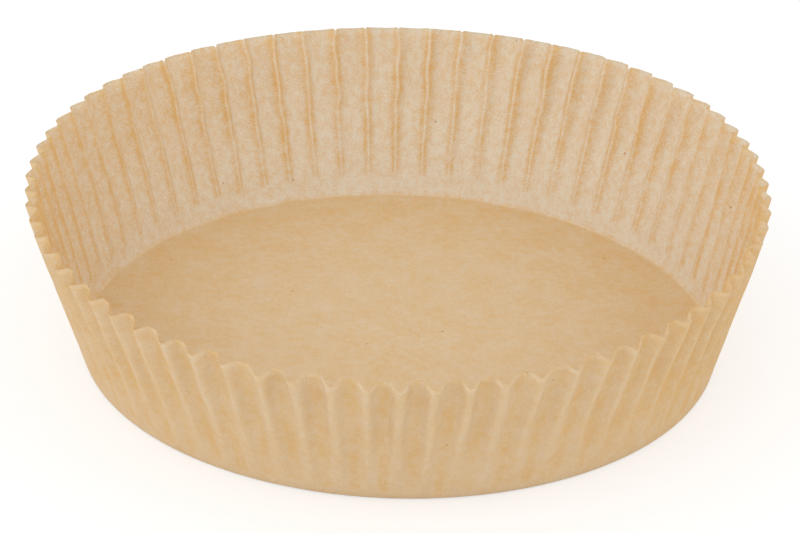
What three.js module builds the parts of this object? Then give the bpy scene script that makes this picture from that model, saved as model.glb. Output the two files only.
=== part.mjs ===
// Air fryer paper liner: one round sheet of greaseproof paper, pressed into a flat base with a
// flared wall of pleats. Millimetres, +Z up, origin at the centre of the underside of the base.
// The near side of the rim is at -Y.
import * as THREE from 'three';

// Sheet
const paperThickness = 0.2;

// Base and the soft fold at its edge
const baseRadius = 80;
const foldReach = 0.8;

// Wall: its length up the slope, and how far it leans out from upright, in degrees
const wallSlant = 45.6;
const wallLean = 21.5;
const ovalLean = 5.5;
const sideLean = 1.5;

// Pleats: each has a flat outside crest and a flat inside crest, joined by two steep panels.
// Crest widths are shares of a pitch. At the back the outside crests are broad, and at the front
// the inside ones. The power crestFade makes both fade quickly towards the narrow crests of the sides.
const pleatCount = 71;
const pleatDepth = 2.9;
const pleatStart = 2.5;
const laterStartAtBack = 3;
const pleatGrowth = 0.75;
const outerCrest = { front: 0.08, back: 0.44 };
const innerCrest = { front: 0.42, back: 0.06 };
const crestFade = 3;
const crestSkew = 0.12;
const firstCrestAngle = 94;

// Where the pleats are pushed together at the near right, in degrees round from +X
const bunchAngle = 298;
const bunchReach = 30;
const bunchShift = 2;

// Rows of points up the wall, closer together near the base where the pleats begin
const wallRows = 5;
const rowSpread = 1.6;

const up = new THREE.Vector3(0, 0, 1);

// The wall leans out further towards the front and the back, where the rim has been pulled
// open, and a little less on the +X side.
function leanAt(angle) {
  const degrees = wallLean - ovalLean * Math.cos(2 * angle) - sideLean * Math.cos(angle);
  return THREE.MathUtils.degToRad(degrees);
}

// 1 at the back of the liner, 0 at the front.
function backness(angle) {
  return 0.5 + 0.5 * Math.sin(angle);
}

// Moves evenly spaced pleats to where they are: a little further clockwise at the near right.
function bunched(angle) {
  const bunch = THREE.MathUtils.degToRad(bunchAngle);
  const away = THREE.MathUtils.euclideanModulo(angle - bunch + Math.PI, 2 * Math.PI) - Math.PI;
  const share = Math.exp(-Math.pow(away / THREE.MathUtils.degToRad(bunchReach), 4));
  return angle - THREE.MathUtils.degToRad(bunchShift) * share;
}

// The four points of a pleat, and how far each is pushed inwards: 0 on the outside crest, 1 on
// the inside crest. On the left and right the outside crests sit a little towards the back.
function pleatPoints(crest, pitch) {
  const back = backness(crest) ** crestFade;
  const front = (1 - backness(crest)) ** crestFade;
  const outerHalf = THREE.MathUtils.lerp(outerCrest.front, outerCrest.back, back) / 2;
  const innerHalf = THREE.MathUtils.lerp(innerCrest.back, innerCrest.front, front) / 2;
  const skew = -crestSkew * Math.cos(crest);
  const shares = [skew - outerHalf, skew + outerHalf, 0.5 - innerHalf, 0.5 + innerHalf];
  return shares.map((share, i) => ({ angle: bunched(crest + share * pitch), push: i < 2 ? 0 : 1 }));
}

// Where the points of one turn lie.
function turnOfPleats() {
  const pitch = (2 * Math.PI) / pleatCount;
  const first = THREE.MathUtils.degToRad(firstCrestAngle);
  const points = [];
  for (let pleat = 0; pleat < pleatCount; pleat++) {
    points.push(...pleatPoints(first + pleat * pitch, pitch));
  }
  return points;
}

// Depth of the pleats at a distance up the slope: none near the base, full at the rim.
function depthAt(slope, angle) {
  const start = pleatStart + laterStartAtBack * backness(angle) ** 2;
  const rise = (slope - start) / (wallSlant - start);
  return pleatDepth * Math.pow(Math.max(rise, 0), pleatGrowth);
}

// Distances up the slope at which the wall has a row of points. The first is the end of the fold.
function wallSlopes() {
  const slopes = [foldReach, pleatStart];
  for (let row = 1; row <= wallRows; row++) {
    const share = Math.pow(row / wallRows, rowSpread);
    slopes.push(THREE.MathUtils.lerp(pleatStart, wallSlant, share));
  }
  return slopes;
}

// A point of the outer face of the paper, on the wall.
function wallPoint({ angle, push }, slope) {
  const lean = leanAt(angle);
  const inwards = push * depthAt(slope, angle);
  const radius = baseRadius + slope * Math.sin(lean) - inwards * Math.cos(lean);
  const height = slope * Math.cos(lean) + inwards * Math.sin(lean);
  return new THREE.Vector3(radius * Math.cos(angle), radius * Math.sin(angle), height);
}

// A point of the underside, on the flat base.
function basePoint({ angle }, radius) {
  return new THREE.Vector3(radius * Math.cos(angle), radius * Math.sin(angle), 0);
}

// The middle of the rounded fold: a quadratic curve from the base to the wall, at its midpoint.
function foldPoint(point) {
  const corner = basePoint(point, baseRadius);
  const inner = basePoint(point, baseRadius - foldReach);
  const outer = wallPoint(point, foldReach);
  return inner.lerp(outer, 0.5).lerp(corner, 0.5);
}

// Rings of points on the outer face, from the edge of the flat base up to the rim.
function outerRings() {
  const turn = turnOfPleats();
  const rings = [turn.map((point) => basePoint(point, baseRadius - foldReach)), turn.map(foldPoint)];
  for (const slope of wallSlopes()) {
    rings.push(turn.map((point) => wallPoint(point, slope)));
  }
  return rings;
}

// Inward normal of the sheet at one point of a ring, from its four neighbours.
function sheetNormal(rings, ring, index) {
  if (ring === 0) {
    return up.clone();
  }
  const count = rings[ring].length;
  const below = rings[ring - 1][index];
  const above = rings[Math.min(ring + 1, rings.length - 1)][index];
  const before = rings[ring][(index + count - 1) % count];
  const after = rings[ring][(index + 1) % count];
  const alongWall = above.clone().sub(below);
  const alongTurn = after.clone().sub(before);
  return alongTurn.cross(alongWall).negate().normalize();
}

// The inner face is the outer face moved by the thickness of the paper.
function innerRings(rings) {
  return rings.map((ring, r) =>
    ring.map((point, i) => point.clone().addScaledVector(sheetNormal(rings, r, i), paperThickness)));
}

// Joins two rings of points with triangles. The faces look to the right of the way from the
// first ring to the second, for rings that run anticlockwise.
function bridge(indices, first, second, count) {
  for (let i = 0; i < count; i++) {
    const next = (i + 1) % count;
    indices.push(first + i, first + next, second + next);
    indices.push(first + i, second + next, second + i);
  }
}

// Closes the base with a fan of triangles about its centre.
function fan(indices, centre, ring, count, facesUp) {
  for (let i = 0; i < count; i++) {
    const next = (i + 1) % count;
    if (facesUp) {
      indices.push(centre, ring + i, ring + next);
    } else {
      indices.push(centre, ring + next, ring + i);
    }
  }
}

// The closed sheet: base underside, outer face, rim edge, inner face and base top.
function linerGeometry() {
  const outer = outerRings();
  const inner = innerRings(outer);
  const count = outer[0].length;
  const rings = [...outer, ...inner.reverse()];
  const points = rings.flat();
  points.push(new THREE.Vector3(0, 0, 0));
  points.push(new THREE.Vector3(0, 0, paperThickness));

  const indices = [];
  const underCentre = rings.length * count;
  fan(indices, underCentre, 0, count, false);
  for (let ring = 0; ring + 1 < rings.length; ring++) {
    bridge(indices, ring * count, (ring + 1) * count, count);
  }
  fan(indices, underCentre + 1, (rings.length - 1) * count, count, true);

  const geometry = new THREE.BufferGeometry().setFromPoints(points);
  geometry.setIndex(indices);
  geometry.computeVertexNormals();
  return geometry;
}

function kraftPaper() {
  return new THREE.MeshStandardMaterial({ color: 0xd8ba8c, roughness: 0.85, metalness: 0 });
}

const liner = new THREE.Mesh(linerGeometry(), kraftPaper());
liner.name = 'paper_liner';

const model = new THREE.Group();
model.add(liner);

export default model;
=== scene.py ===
"""Air fryer paper liner: the folded sheet as a fine mesh, its paper, the camera and the light."""
import math

import bpy
import numpy as np
from mathutils import Matrix, Vector, noise


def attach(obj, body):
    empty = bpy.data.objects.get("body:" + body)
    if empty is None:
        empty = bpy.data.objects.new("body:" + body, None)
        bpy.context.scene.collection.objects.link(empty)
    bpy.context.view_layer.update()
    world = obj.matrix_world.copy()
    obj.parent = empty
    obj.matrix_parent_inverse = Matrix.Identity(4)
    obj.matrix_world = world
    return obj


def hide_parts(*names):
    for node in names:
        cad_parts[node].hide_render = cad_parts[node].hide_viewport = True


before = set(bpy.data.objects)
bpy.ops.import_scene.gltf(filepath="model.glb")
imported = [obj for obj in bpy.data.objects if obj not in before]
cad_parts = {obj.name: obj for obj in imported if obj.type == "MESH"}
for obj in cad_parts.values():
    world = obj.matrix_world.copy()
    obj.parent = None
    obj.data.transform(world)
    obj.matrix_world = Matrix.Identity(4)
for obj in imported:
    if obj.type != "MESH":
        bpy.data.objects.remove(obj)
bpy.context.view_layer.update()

# The sheet, in metres and degrees, as in the CAD model, but for its thinner paper and the outside
# crests of the front, which are broader here because their bends are rounded. The two crests'
# widths are shares of a pitch, at the front and at the back.
PAPER = 0.0001
BASE_RADIUS = 0.080
FOLD_REACH = 0.0008
WALL_SLANT = 0.0456
WALL_LEAN = 21.5
OVAL_LEAN = 5.5
SIDE_LEAN = 1.5
PLEATS = 71
PLEAT_DEPTH = 0.0029
PLEAT_START = 0.0025
PLEAT_GROWTH = 0.75
LATER_START_AT_BACK = 0.003
OUTER_CREST = (0.14, 0.44)
INNER_CREST = (0.42, 0.06)
CREST_FADE = 3
CREST_SKEW = 0.12
FIRST_CREST = 94.0
BUNCH_ANGLE = 298.0
BUNCH_REACH = 30.0
BUNCH_SHIFT = 2.0
PITCH = 2 * math.pi / PLEATS

# Fineness of the mesh. Rings of the base lose every other point where their points lie closer
# together than the share CROWDED of the gap between rings.
WALL_ROWS = 27
FOLD_ROWS = 3
BASE_RING_GAP = 0.0045
CROWDED = 0.6

# Handmade unevenness: how far folds wander, in pitches, and how uneven depth and rim are
FOLD_WANDER = 0.075
DEPTH_SPREAD = 0.16
PANEL_BULGE = 0.0002
RIM_DIP = 0.0005
RIM_ROUGHNESS = 0.00012
COCKLE = 0.00012
RANDOM = np.random.default_rng(16)

# The paper's colours, as seen on screen. The tones between the two tans also carry painted shade, sheen
# and highlights.
ORANGE_TAN = (221, 181, 121)
PALE_TAN = (227, 218, 201)
SPECK_BROWN = (176, 108, 44)

# The studio's brightness at its sides and overhead
SIDE_LIGHT = 1.22
TOP_LIGHT = 0.68

# The camera, from a fit to the photograph
PHOTO_WIDTH = 800
FOCAL_PIXELS = 3846.8
SENSOR_WIDTH = 36.0
CAMERA_DISTANCE = 0.9673
CAMERA_ELEVATION = 27.652
CAMERA_ROLL = 1.539
CAMERA_TARGET = (-0.00016, 0.0, 0.01999)


def smooth(value, low, high):
    """0 below low, 1 above high, and a smooth rise between them."""
    share = np.clip((value - low) / (high - low), 0.0, 1.0)
    return share * share * (3 - 2 * share)


def bump_at(value, centre, width):
    """1 at the centre, falling to nothing a few widths away."""
    return np.exp(-((value - centre) / width) ** 2)


# Pleats

def backness(angle):
    """1 at the back of the liner, 0 at the front."""
    return 0.5 + 0.5 * np.sin(angle)


def half_section(outer_half, inner_half):
    """Points of half a pleat: phase from its outside crest to its inside crest, and inward push.

    The crests are nearly flat, and the steep panel between them turns softly into both.
    """
    flank = 0.5 - inner_half - outer_half
    points = [
        (outer_half * 0.25, 0.0),
        (outer_half * 0.75, 0.03),
        (outer_half + flank * 0.08, 0.10),
        (outer_half + flank * 0.36, 0.35),
        (outer_half + flank * 0.64, 0.64),
        (outer_half + flank * 0.92, 0.91),
        (0.5 - inner_half * 0.70, 0.98),
        (0.5 - inner_half * 0.20, 1.0),
    ]
    phase = np.stack([0 * outer_half + place for place, push in points], axis=1)
    push = np.array([push for place, push in points])
    return phase, push


def bunched(angle):
    """Moves evenly spaced pleats a little further clockwise at the near right."""
    away = (angle - math.radians(BUNCH_ANGLE) + math.pi) % (2 * math.pi) - math.pi
    share = np.exp(-(away / math.radians(BUNCH_REACH)) ** 4)
    return angle - math.radians(BUNCH_SHIFT) * share


def pleat_section():
    """Every point of one turn: phase, nearness to an inside crest, inward push, and its pleat.

    A pleat is half a pitch either side of its outside crest. At the back the outside crests are
    broad, at the front the inside ones, and both are narrow at the sides.
    """
    centres = math.radians(FIRST_CREST) + PITCH * np.arange(PLEATS)
    back = backness(centres) ** CREST_FADE
    front = (1 - backness(centres)) ** CREST_FADE
    outer_half = (OUTER_CREST[0] + (OUTER_CREST[1] - OUTER_CREST[0]) * back) / 2
    outer_half += RANDOM.uniform(-0.015, 0.015, PLEATS)
    inner_half = (INNER_CREST[1] + (INNER_CREST[0] - INNER_CREST[1]) * front) / 2
    half_phase, half_push = half_section(outer_half, inner_half)
    phase = np.concatenate([-half_phase[:, ::-1], half_phase], axis=1)
    push = np.concatenate([half_push[::-1], half_push])
    nearness = np.abs(phase) / 0.5
    skew = -CREST_SKEW * np.cos(centres)
    phase += (1 - nearness) * skew[:, None]
    pleat = np.repeat(np.arange(PLEATS), phase.shape[1])
    side = np.tile(np.arange(phase.shape[1]) >= len(half_push), PLEATS)
    return phase.ravel(), nearness.ravel(), np.tile(push, PLEATS), pleat, side, centres


def waves(slopes, cycles):
    """Smooth random curves up the wall, one for each pleat, between about -1 and 1."""
    total = np.zeros((len(slopes), PLEATS))
    for cycle in cycles:
        start = RANDOM.uniform(0, 2 * math.pi, PLEATS)
        size = RANDOM.uniform(0.3, 1.0, PLEATS)
        turns = cycle * RANDOM.uniform(0.8, 1.2, PLEATS)
        total += size * np.sin(2 * math.pi * turns * slopes[:, None] / WALL_SLANT + start)
    return total / math.sqrt(len(cycles))


def kinks(slopes):
    """A sideways jog that some folds take about a third of the way down from the rim."""
    place = WALL_SLANT * RANDOM.uniform(0.56, 0.80, PLEATS)
    size = RANDOM.choice([-1.0, 0, 1.0], PLEATS) * RANDOM.uniform(0.5, 1.0, PLEATS)
    away = (slopes[:, None] - place) / 0.0024
    return size * (0.5 * np.tanh(away) + 1.1 * np.exp(-away ** 2))


def lean_at(angle):
    """How far the wall leans out from upright, in radians."""
    return np.radians(WALL_LEAN - OVAL_LEAN * np.cos(2 * angle) - SIDE_LEAN * np.cos(angle))


def growth_at(slope, angle):
    """Share of the full depth that the pleats have reached. At the back they fade out higher up."""
    start = PLEAT_START + LATER_START_AT_BACK * backness(angle) ** 2
    rise = np.clip((slope - start) / (WALL_SLANT - start), 0.0, 1.0)
    return rise ** PLEAT_GROWTH


def wall_rows(slopes):
    """Rows of points of the wall's outer face, one for each slope, and values for the paper."""
    phase, nearness, push, pleat, side, centres = pleat_section()
    fold = (pleat + side) % PLEATS
    slope = slopes[:, None]

    crest_wander = FOLD_WANDER * waves(slopes, (0.6, 1.7))
    fold_wander = FOLD_WANDER * (waves(slopes, (0.6, 2.1, 4.2)) + kinks(slopes))
    wander = (1 - nearness) * crest_wander[:, pleat] + nearness * fold_wander[:, fold]
    growth = growth_at(slope, centres[pleat])
    angle = bunched(centres[pleat] + PITCH * (phase + wander * growth))

    depth = PLEAT_DEPTH * (1 + DEPTH_SPREAD * waves(slopes, (0.5, 1.3)))[:, fold]
    bulge = PANEL_BULGE * waves(slopes, (0.7, 1.9))[:, pleat]
    inwards = growth * (push * depth + (1 - nearness) * bulge)
    dip = RIM_DIP * RANDOM.uniform(0.2, 1.6, PLEATS)[fold] * bump_at(nearness, 1.0, 0.06)
    dip += RIM_ROUGHNESS * RANDOM.uniform(0, 1, len(pleat))
    along = slope - dip * (slope / WALL_SLANT) ** 24

    lean = lean_at(angle)
    radius = BASE_RADIUS + along * np.sin(lean) - inwards * np.cos(lean)
    height = along * np.cos(lean) + inwards * np.sin(lean)
    points = np.stack([radius * np.cos(angle), radius * np.sin(angle), height], axis=-1)
    return points, angle, growth, nearness + 0 * growth


def fold_rows(wall_foot, angle):
    """Rows from the edge of the flat base, round the soft fold, to just short of the wall."""
    around = np.stack([np.cos(angle), np.sin(angle), 0 * angle], axis=-1)
    start = (BASE_RADIUS - FOLD_REACH) * around
    corner = BASE_RADIUS * around
    rows = []
    for row in range(FOLD_ROWS):
        t = row / FOLD_ROWS
        rows.append((1 - t) ** 2 * start + 2 * t * (1 - t) * corner + t ** 2 * wall_foot)
    return rows


def cockle(points):
    """Small unevenness of handled paper, at two scales, as a distance along the normal."""
    values = []
    for point in points.reshape(-1, 3):
        place = Vector(point)
        values.append(noise.noise(place * 110) + 0.4 * noise.noise(place * 420))
    return COCKLE * np.array(values).reshape(points.shape[:-1])


def normals_of(rows):
    """Inward normals of rows of points that close on themselves. The first row faces up."""
    turn = np.roll(rows, -1, axis=1) - np.roll(rows, 1, axis=1)
    climb = np.gradient(rows, axis=0)
    normal = np.cross(climb, turn)
    normal /= np.linalg.norm(normal, axis=-1, keepdims=True)
    normal[0] = (0, 0, 1)
    return normal


# Mesh

class SheetMesh:
    """Collects the points and faces of the closed sheet, and values for each point."""

    def __init__(self):
        self.points = []
        self.faces = []
        self.values = {"slope": [], "growth": [], "nearness": [], "inside": []}

    def ring(self, points, slope, growth, nearness, inside):
        """Adds one ring of points and returns their numbers."""
        first = len(self.points)
        self.points.extend(map(tuple, points))
        given = {"slope": slope, "growth": growth, "nearness": nearness, "inside": inside}
        for name, value in given.items():
            self.values[name].extend(np.broadcast_to(value, len(points)))
        return list(range(first, first + len(points)))

    def bridge(self, first, second, flip=False):
        """Quads between two rings of as many points, looking right of the way between them."""
        for i in range(len(first)):
            j = (i + 1) % len(first)
            self.face((first[i], first[j], second[j], second[i]), flip)

    def halve(self, first, second, flip=False):
        """Triangles from one ring to the next, which has half as many points."""
        for i in range(len(second)):
            j = (i + 1) % len(second)
            a = first[2 * i]
            b = first[2 * i + 1]
            c = first[(2 * i + 2) % len(first)]
            self.face((a, b, second[i]), flip)
            self.face((b, second[j], second[i]), flip)
            self.face((b, c, second[j]), flip)

    def fan(self, ring, centre, flip=False):
        """Triangles from the last ring to its centre."""
        for i in range(len(ring)):
            self.face((ring[i], ring[(i + 1) % len(ring)], centre[0]), flip)

    def face(self, corners, flip):
        """Adds one face, turned over if flip is true."""
        self.faces.append(corners[::-1] if flip else corners)

    def close_base(self, edge_points, edge, height, inside):
        """Fills one face of the flat base from its edge to its centre, in ever fewer points."""
        flip = not inside
        angles = np.arctan2(edge_points[:, 1], edge_points[:, 0])
        radius = math.hypot(edge_points[0, 0], edge_points[0, 1])
        outer = edge
        while radius > 2 * BASE_RING_GAP:
            spacing = 2 * math.pi * radius / len(angles)
            radius -= min(2 * spacing, BASE_RING_GAP)
            thinned = spacing < CROWDED * BASE_RING_GAP and len(angles) % 2 == 0
            if thinned:
                angles = angles[::2]
            points = np.stack([radius * np.cos(angles), radius * np.sin(angles), height + 0 * angles], -1)
            inner = self.ring(points, 0, 0, 0, inside)
            join = self.halve if thinned else self.bridge
            join(outer, inner, flip)
            outer = inner
        centre = self.ring(np.array([[0, 0, height]]), 0, 0, 0, inside)
        self.fan(outer, centre, flip)


def sheet_mesh():
    """The closed sheet: its outside, its inside, the edge of the rim and both faces of the base."""
    slopes = FOLD_REACH + (WALL_SLANT - FOLD_REACH) * np.linspace(0, 1, WALL_ROWS)
    wall, angle, growth, nearness = wall_rows(slopes)
    outside = np.array(fold_rows(wall[0], angle[0]) + list(wall))
    blank = np.zeros((FOLD_ROWS, wall.shape[1]))
    growth = np.concatenate([blank, growth])
    nearness = np.concatenate([blank, nearness])
    slopes = np.concatenate([FOLD_REACH * np.arange(FOLD_ROWS) / FOLD_ROWS, slopes])
    loose = smooth(slopes, 0.0, 0.006)[:, None]
    outside += (loose * cockle(outside))[..., None] * normals_of(outside)
    inside = outside + PAPER * normals_of(outside)

    mesh = SheetMesh()
    outer_rings = [mesh.ring(*row, 0) for row in zip(outside, slopes, growth, nearness)]
    inner_rings = [mesh.ring(*row, 1) for row in zip(inside, slopes, growth, nearness)]
    rings = outer_rings + inner_rings[::-1]
    for first, second in zip(rings, rings[1:]):
        mesh.bridge(first, second)
    mesh.close_base(outside[0], outer_rings[0], 0.0, 0)
    mesh.close_base(inside[0], inner_rings[0], PAPER, 1)
    return mesh


def lay_out_flat(data, mesh):
    """A UV map that is the flat sheet before it was pressed, in metres."""
    slope = np.array(mesh.values["slope"])
    points = np.array(mesh.points)
    radius = np.where(slope > 0, BASE_RADIUS + slope, np.hypot(points[:, 0], points[:, 1]))
    angle = np.arctan2(points[:, 1], points[:, 0])
    flat = np.stack([radius * np.cos(angle), radius * np.sin(angle)], axis=-1)
    corners = np.empty(len(data.loops), dtype=np.int32)
    data.loops.foreach_get("vertex_index", corners)
    layer = data.uv_layers.new(name="flat_sheet")
    layer.data.foreach_set("uv", flat[corners].ravel())


def make_liner():
    """The liner as one object that takes the place of the CAD solid."""
    mesh = sheet_mesh()
    data = bpy.data.meshes.new("pleated_liner")
    data.from_pydata(mesh.points, [], mesh.faces)
    for name, values in mesh.values.items():
        layer = data.attributes.new(name, "FLOAT", "POINT")
        layer.data.foreach_set("value", values)
    lay_out_flat(data, mesh)
    data.shade_smooth()
    liner = bpy.data.objects.new("pleated_liner", data)
    bpy.context.collection.objects.link(liner)
    data.materials.append(kraft_paper())
    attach(liner, "root")
    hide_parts("paper_liner")
    return liner


# Materials

def linear(red, green, blue):
    """A colour as it is seen on screen, 0 to 255, in Blender's linear values."""
    def channel(value):
        value /= 255
        return value / 12.92 if value <= 0.04045 else ((value + 0.055) / 1.055) ** 2.4
    return (channel(red), channel(green), channel(blue), 1.0)


def grey(level):
    """A grey in Blender's linear values, 0 to 1."""
    return (level, level, level, 1.0)


class Nodes:
    """Makes nodes in a tree and links them as it goes."""

    def __init__(self, tree):
        self.tree = tree

    def put(self, socket, value):
        """Sets a socket to a number or colour, or links another node's output to it."""
        if isinstance(value, bpy.types.NodeSocket):
            self.tree.links.new(value, socket)
        else:
            socket.default_value = value

    def node(self, kind, inputs=None, **settings):
        """A new node of a kind, with its settings made and its inputs set or linked."""
        node = self.tree.nodes.new(kind)
        for name, value in settings.items():
            setattr(node, name, value)
        for name, value in (inputs or {}).items():
            self.put(node.inputs[name], value)
        return node

    def math(self, operation, first, second):
        return self.node("ShaderNodeMath", {0: first, 1: second}, operation=operation).outputs[0]

    def times(self, first, second):
        return self.math("MULTIPLY", first, second)

    def add(self, start, value, share):
        """start plus a share of a value."""
        return self.math("ADD", start, self.times(value, share))

    def ramp(self, value, low, high, start=0.0, end=1.0):
        """start below low, end above high, and a smooth change between them."""
        inputs = {"Value": value, 1: low, 2: high, 3: start, 4: end}
        node = self.node("ShaderNodeMapRange", inputs, interpolation_type="SMOOTHSTEP")
        return node.outputs["Result"]

    def mix(self, share, first, second):
        """A colour between two others."""
        node = self.node("ShaderNodeMix", {0: share, 6: first, 7: second}, data_type="RGBA")
        return node.outputs[2]

    def attribute(self, name):
        return self.node("ShaderNodeAttribute", attribute_name=name).outputs["Fac"]

    def axis(self, place, name):
        """One of a vector's three parts: X, Y or Z."""
        return self.node("ShaderNodeSeparateXYZ", {0: place}).outputs[name]

    def length(self, place):
        """Length of a vector."""
        return self.node("ShaderNodeVectorMath", {0: place}, operation="LENGTH").outputs["Value"]

    def stretch(self, place, scale):
        return self.node("ShaderNodeMapping", {"Vector": place, "Scale": scale}).outputs[0]

    def noise(self, place, scale, detail, roughness, depth):
        """Noise from -depth to depth, with more contrast than Blender's own."""
        inputs = {"Vector": place, "Scale": scale, "Detail": detail, "Roughness": roughness}
        value = self.node("ShaderNodeTexNoise", inputs).outputs[0]
        return self.ramp(value, 0.3, 0.7, -depth, depth)


def new_material(name):
    """A material, a maker of its nodes, and its shader."""
    material = bpy.data.materials.new(name)
    material.use_nodes = True
    return material, Nodes(material.node_tree), material.node_tree.nodes["Principled BSDF"]


def sheet_tone_and_painted_light(paper, sheet, fibres, inside, outside):
    """Tone of the flat parts: 0 is orange tan, 1 is pale tan.

    The base is palest at its middle, with painted shade and bounce towards its edge. The inside of
    the wall is much paler, partly as its own paler face and partly as painted sheen, strongest at
    the foot of its far side, with painted shade on its left and near sides. The outside is even and
    more orange, with painted light near its foot and at the front, and painted shade on its right.
    """
    slope = paper.attribute("slope")
    right = paper.axis(sheet, "X")
    back = paper.axis(sheet, "Y")
    clouds = paper.noise(sheet, 120.0, 3.0, 0.6, 0.07)
    mottle = paper.noise(sheet, 450.0, 3.0, 0.7, 0.10)
    ragged_edge = paper.add(slope, clouds, 0.0015)
    wall = paper.times(paper.ramp(ragged_edge, -0.0003, 0.0014), inside)

    # Painted shade and bounce: the tone falls from the middle of the base to its edge, and keeps that
    # level up the wall.
    tone = paper.ramp(paper.length(sheet), 0.035, 0.085, 0.29, 0.18)
    tone = paper.math("ADD", tone, clouds)
    tone = paper.add(tone, paper.math("ADD", mottle, fibres), paper.ramp(wall, 0.0, 1.0, 1.0, 2.1))
    # The inside of the wall is paler: partly its own paler face, partly painted sheen, strongest at the
    # foot of its far side.
    foot = paper.ramp(back, 0.0, 0.07, 0.48, 0.61)
    tone = paper.add(tone, wall, paper.ramp(slope, 0.0, 0.04, foot, 0.46))
    # Painted shade: the inside of the wall is darker and more orange on its left.
    tone = paper.add(tone, wall, paper.ramp(right, -0.10, 0.0, -0.16, 0.0))
    # Painted shade: the inside of the wall is darker and more orange towards the near side.
    tone = paper.add(tone, wall, paper.ramp(back, -0.06, 0.04, -0.38, 0.0))
    # The outside is paler throughout, and paler still near its foot, where the extra is painted light.
    tone = paper.add(tone, outside, paper.ramp(slope, 0.0, 0.02, 0.16, 0.10))
    # Painted light: the outside is paler at the front.
    tone = paper.add(tone, outside, paper.ramp(back, -0.10, -0.06, 0.06, 0.0))
    # Painted shade: the outside is more orange on its right.
    return paper.add(tone, outside, paper.ramp(right, 0.03, 0.10, 0.0, -0.11))


def fold_shade_and_highlight(paper, sheet, inside, outside):
    """What the folds add to the tone.

    Inside, the inside crests are thin pale lines of painted highlight, each in orange bands of
    painted shade and bounce from its grooves, and the bands are narrower on the left. Outside, the
    hollows are more orange, as painted shade. All of it comes and goes along a fold.
    """
    nearness = paper.attribute("nearness")
    grown = paper.ramp(paper.attribute("growth"), 0.0, 0.08)
    patches = paper.node("ShaderNodeTexNoise", {"Vector": sheet, "Scale": 70.0, "Detail": 2.0})
    patchy = paper.ramp(patches.outputs[0], 0.35, 0.65, 0.5, 1.2)

    # Painted shade and bounce: orange bands beside each inside crest, narrower on the left.
    reach = paper.ramp(paper.axis(sheet, "X"), -0.09, 0.0, 0.55, 0.35)
    groove_shade = paper.math("POWER", paper.ramp(nearness, reach, 0.9), 1.6)
    # Painted highlight: a thin pale stroke along each inside crest.
    crest_highlight = paper.ramp(nearness, 0.87, 0.98)
    # Painted shade: the outside is more orange in its hollows.
    hollow_shade = paper.ramp(nearness, 0.45, 0.85)
    inside_fold_light = paper.add(paper.times(groove_shade, -0.49), crest_highlight, 0.38)
    both = paper.add(paper.times(inside_fold_light, inside), paper.times(hollow_shade, -0.15), outside)
    return paper.times(paper.times(both, patchy), grown)


def speck_share(paper, sheet):
    """1 in the middle of a few small round specks, 0 elsewhere."""
    dots = paper.node("ShaderNodeTexVoronoi", {"Vector": sheet, "Scale": 260.0})
    chosen = paper.math("GREATER_THAN", dots.outputs["Color"], 0.79)
    return paper.times(chosen, paper.ramp(dots.outputs["Distance"], 0.04, 0.12, 1.0, 0.0))


def kraft_paper():
    """Unbleached greaseproof paper, in tones between two tans, with fine fibres and specks."""
    material, paper, shader = new_material("kraft_paper")
    sheet = paper.node("ShaderNodeUVMap", uv_map="flat_sheet").outputs[0]
    inside = paper.attribute("inside")
    outside = paper.math("SUBTRACT", 1.0, inside)
    fibres = paper.noise(paper.stretch(sheet, (1.0, 1.5, 1.0)), 1500.0, 3.0, 0.8, 0.15)

    # The tones hold painted shade, sheen and highlights as well as the paper's own colour.
    tone = sheet_tone_and_painted_light(paper, sheet, fibres, inside, outside)
    tone = paper.math("ADD", tone, fold_shade_and_highlight(paper, sheet, inside, outside))
    colour = paper.mix(tone, linear(*ORANGE_TAN), linear(*PALE_TAN))
    specks = paper.times(speck_share(paper, sheet), 0.75)
    paper.put(shader.inputs["Base Color"], paper.mix(specks, colour, linear(*SPECK_BROWN)))

    paper.put(shader.inputs["Roughness"], paper.ramp(fibres, -0.15, 0.15, 0.62, 0.82))
    shader.inputs["Specular IOR Level"].default_value = 0.3
    bump = paper.node("ShaderNodeBump", {"Height": fibres, "Strength": 0.65, "Distance": 0.0002})
    paper.put(shader.inputs["Normal"], bump.outputs[0])
    return material


def floor_material():
    """A plain white floor. The camera sees the liner's soft shadow on it at half its strength."""
    material, floor, shader = new_material("floor")
    seen = floor.node("ShaderNodeLightPath").outputs["Is Camera Ray"]
    floor.put(shader.inputs["Base Color"], floor.mix(seen, grey(0.86), grey(0.5)))
    shader.inputs["Emission Color"].default_value = grey(1)
    floor.put(shader.inputs["Emission Strength"], floor.times(seen, 0.55))
    shader.inputs["Roughness"].default_value = 1.0
    shader.inputs["Specular IOR Level"].default_value = 0.0
    return material


# Scene

def make_floor():
    """A floor just below the liner, far wider than any view of it."""
    data = bpy.data.meshes.new("floor")
    reach = 3.0
    level = -0.0001
    data.from_pydata([(-reach, -reach, level), (reach, -reach, level), (reach, reach, level),
                      (-reach, reach, level)], [], [(0, 1, 2, 3)])
    floor = bpy.data.objects.new("floor", data)
    bpy.context.collection.objects.link(floor)
    data.materials.append(floor_material())


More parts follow.
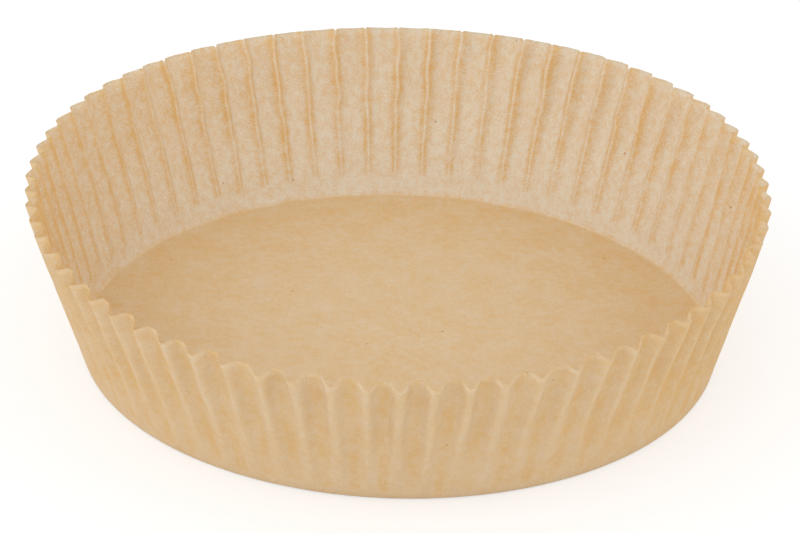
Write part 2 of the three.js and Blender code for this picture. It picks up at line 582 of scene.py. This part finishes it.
def make_camera():
    """A long lens at the photograph's own place, height and slight roll."""
    elevation = math.radians(CAMERA_ELEVATION)
    roll = math.radians(CAMERA_ROLL)
    forward = Vector((0, math.cos(elevation), -math.sin(elevation)))
    level_right = Vector((1, 0, 0))
    level_up = level_right.cross(forward)
    right = math.cos(roll) * level_right + math.sin(roll) * level_up
    up = math.cos(roll) * level_up - math.sin(roll) * level_right
    data = bpy.data.cameras.new("camera")
    data.sensor_width = SENSOR_WIDTH
    data.lens = FOCAL_PIXELS / PHOTO_WIDTH * SENSOR_WIDTH
    camera = bpy.data.objects.new("camera", data)
    bpy.context.collection.objects.link(camera)
    turn = Matrix((right, up, -forward)).transposed().to_4x4()
    camera.matrix_world = Matrix.Translation(Vector(CAMERA_TARGET) - CAMERA_DISTANCE * forward) @ turn
    bpy.context.scene.camera = camera


def make_lamp(name, place, size, power):
    """A square lamp that faces the liner."""
    data = bpy.data.lights.new(name, "AREA")
    data.shape = "SQUARE"
    data.size = size
    data.energy = power
    lamp = bpy.data.objects.new(name, data)
    bpy.context.collection.objects.link(lamp)
    lamp.location = place
    lamp.rotation_euler = (-Vector(place)).to_track_quat("-Z", "Y").to_euler()


def make_lamps():
    """Three soft lamps, at the front and at both sides. The left one is brighter than the right."""
    make_lamp("front", (-0.3, -0.9, 1.1), 1.0, 2.2)
    make_lamp("left", (-1.0, -0.3, 0.7), 1.0, 2.0)
    make_lamp("right", (1.0, -0.2, 0.7), 1.0, 1.4)


def make_world():
    """An all-white studio, brighter round the sides than overhead. The camera sees plain white."""
    world = bpy.data.worlds.new("studio")
    bpy.context.scene.world = world
    world.use_nodes = True
    sky = Nodes(world.node_tree)
    height = sky.axis(sky.node("ShaderNodeTexCoord").outputs["Generated"], "Z")
    light = sky.node("ShaderNodeMapRange", {"Value": height, 3: SIDE_LIGHT, 4: TOP_LIGHT})
    seen = sky.node("ShaderNodeLightPath").outputs["Is Camera Ray"]
    background = world.node_tree.nodes["Background"]
    background.inputs["Color"].default_value = grey(1)
    sky.put(background.inputs["Strength"], sky.ramp(seen, 0.0, 1.0, light.outputs["Result"], 1.0))


make_liner()
make_floor()
make_camera()
make_lamps()
make_world()
bpy.context.scene.view_settings.view_transform = "Standard"
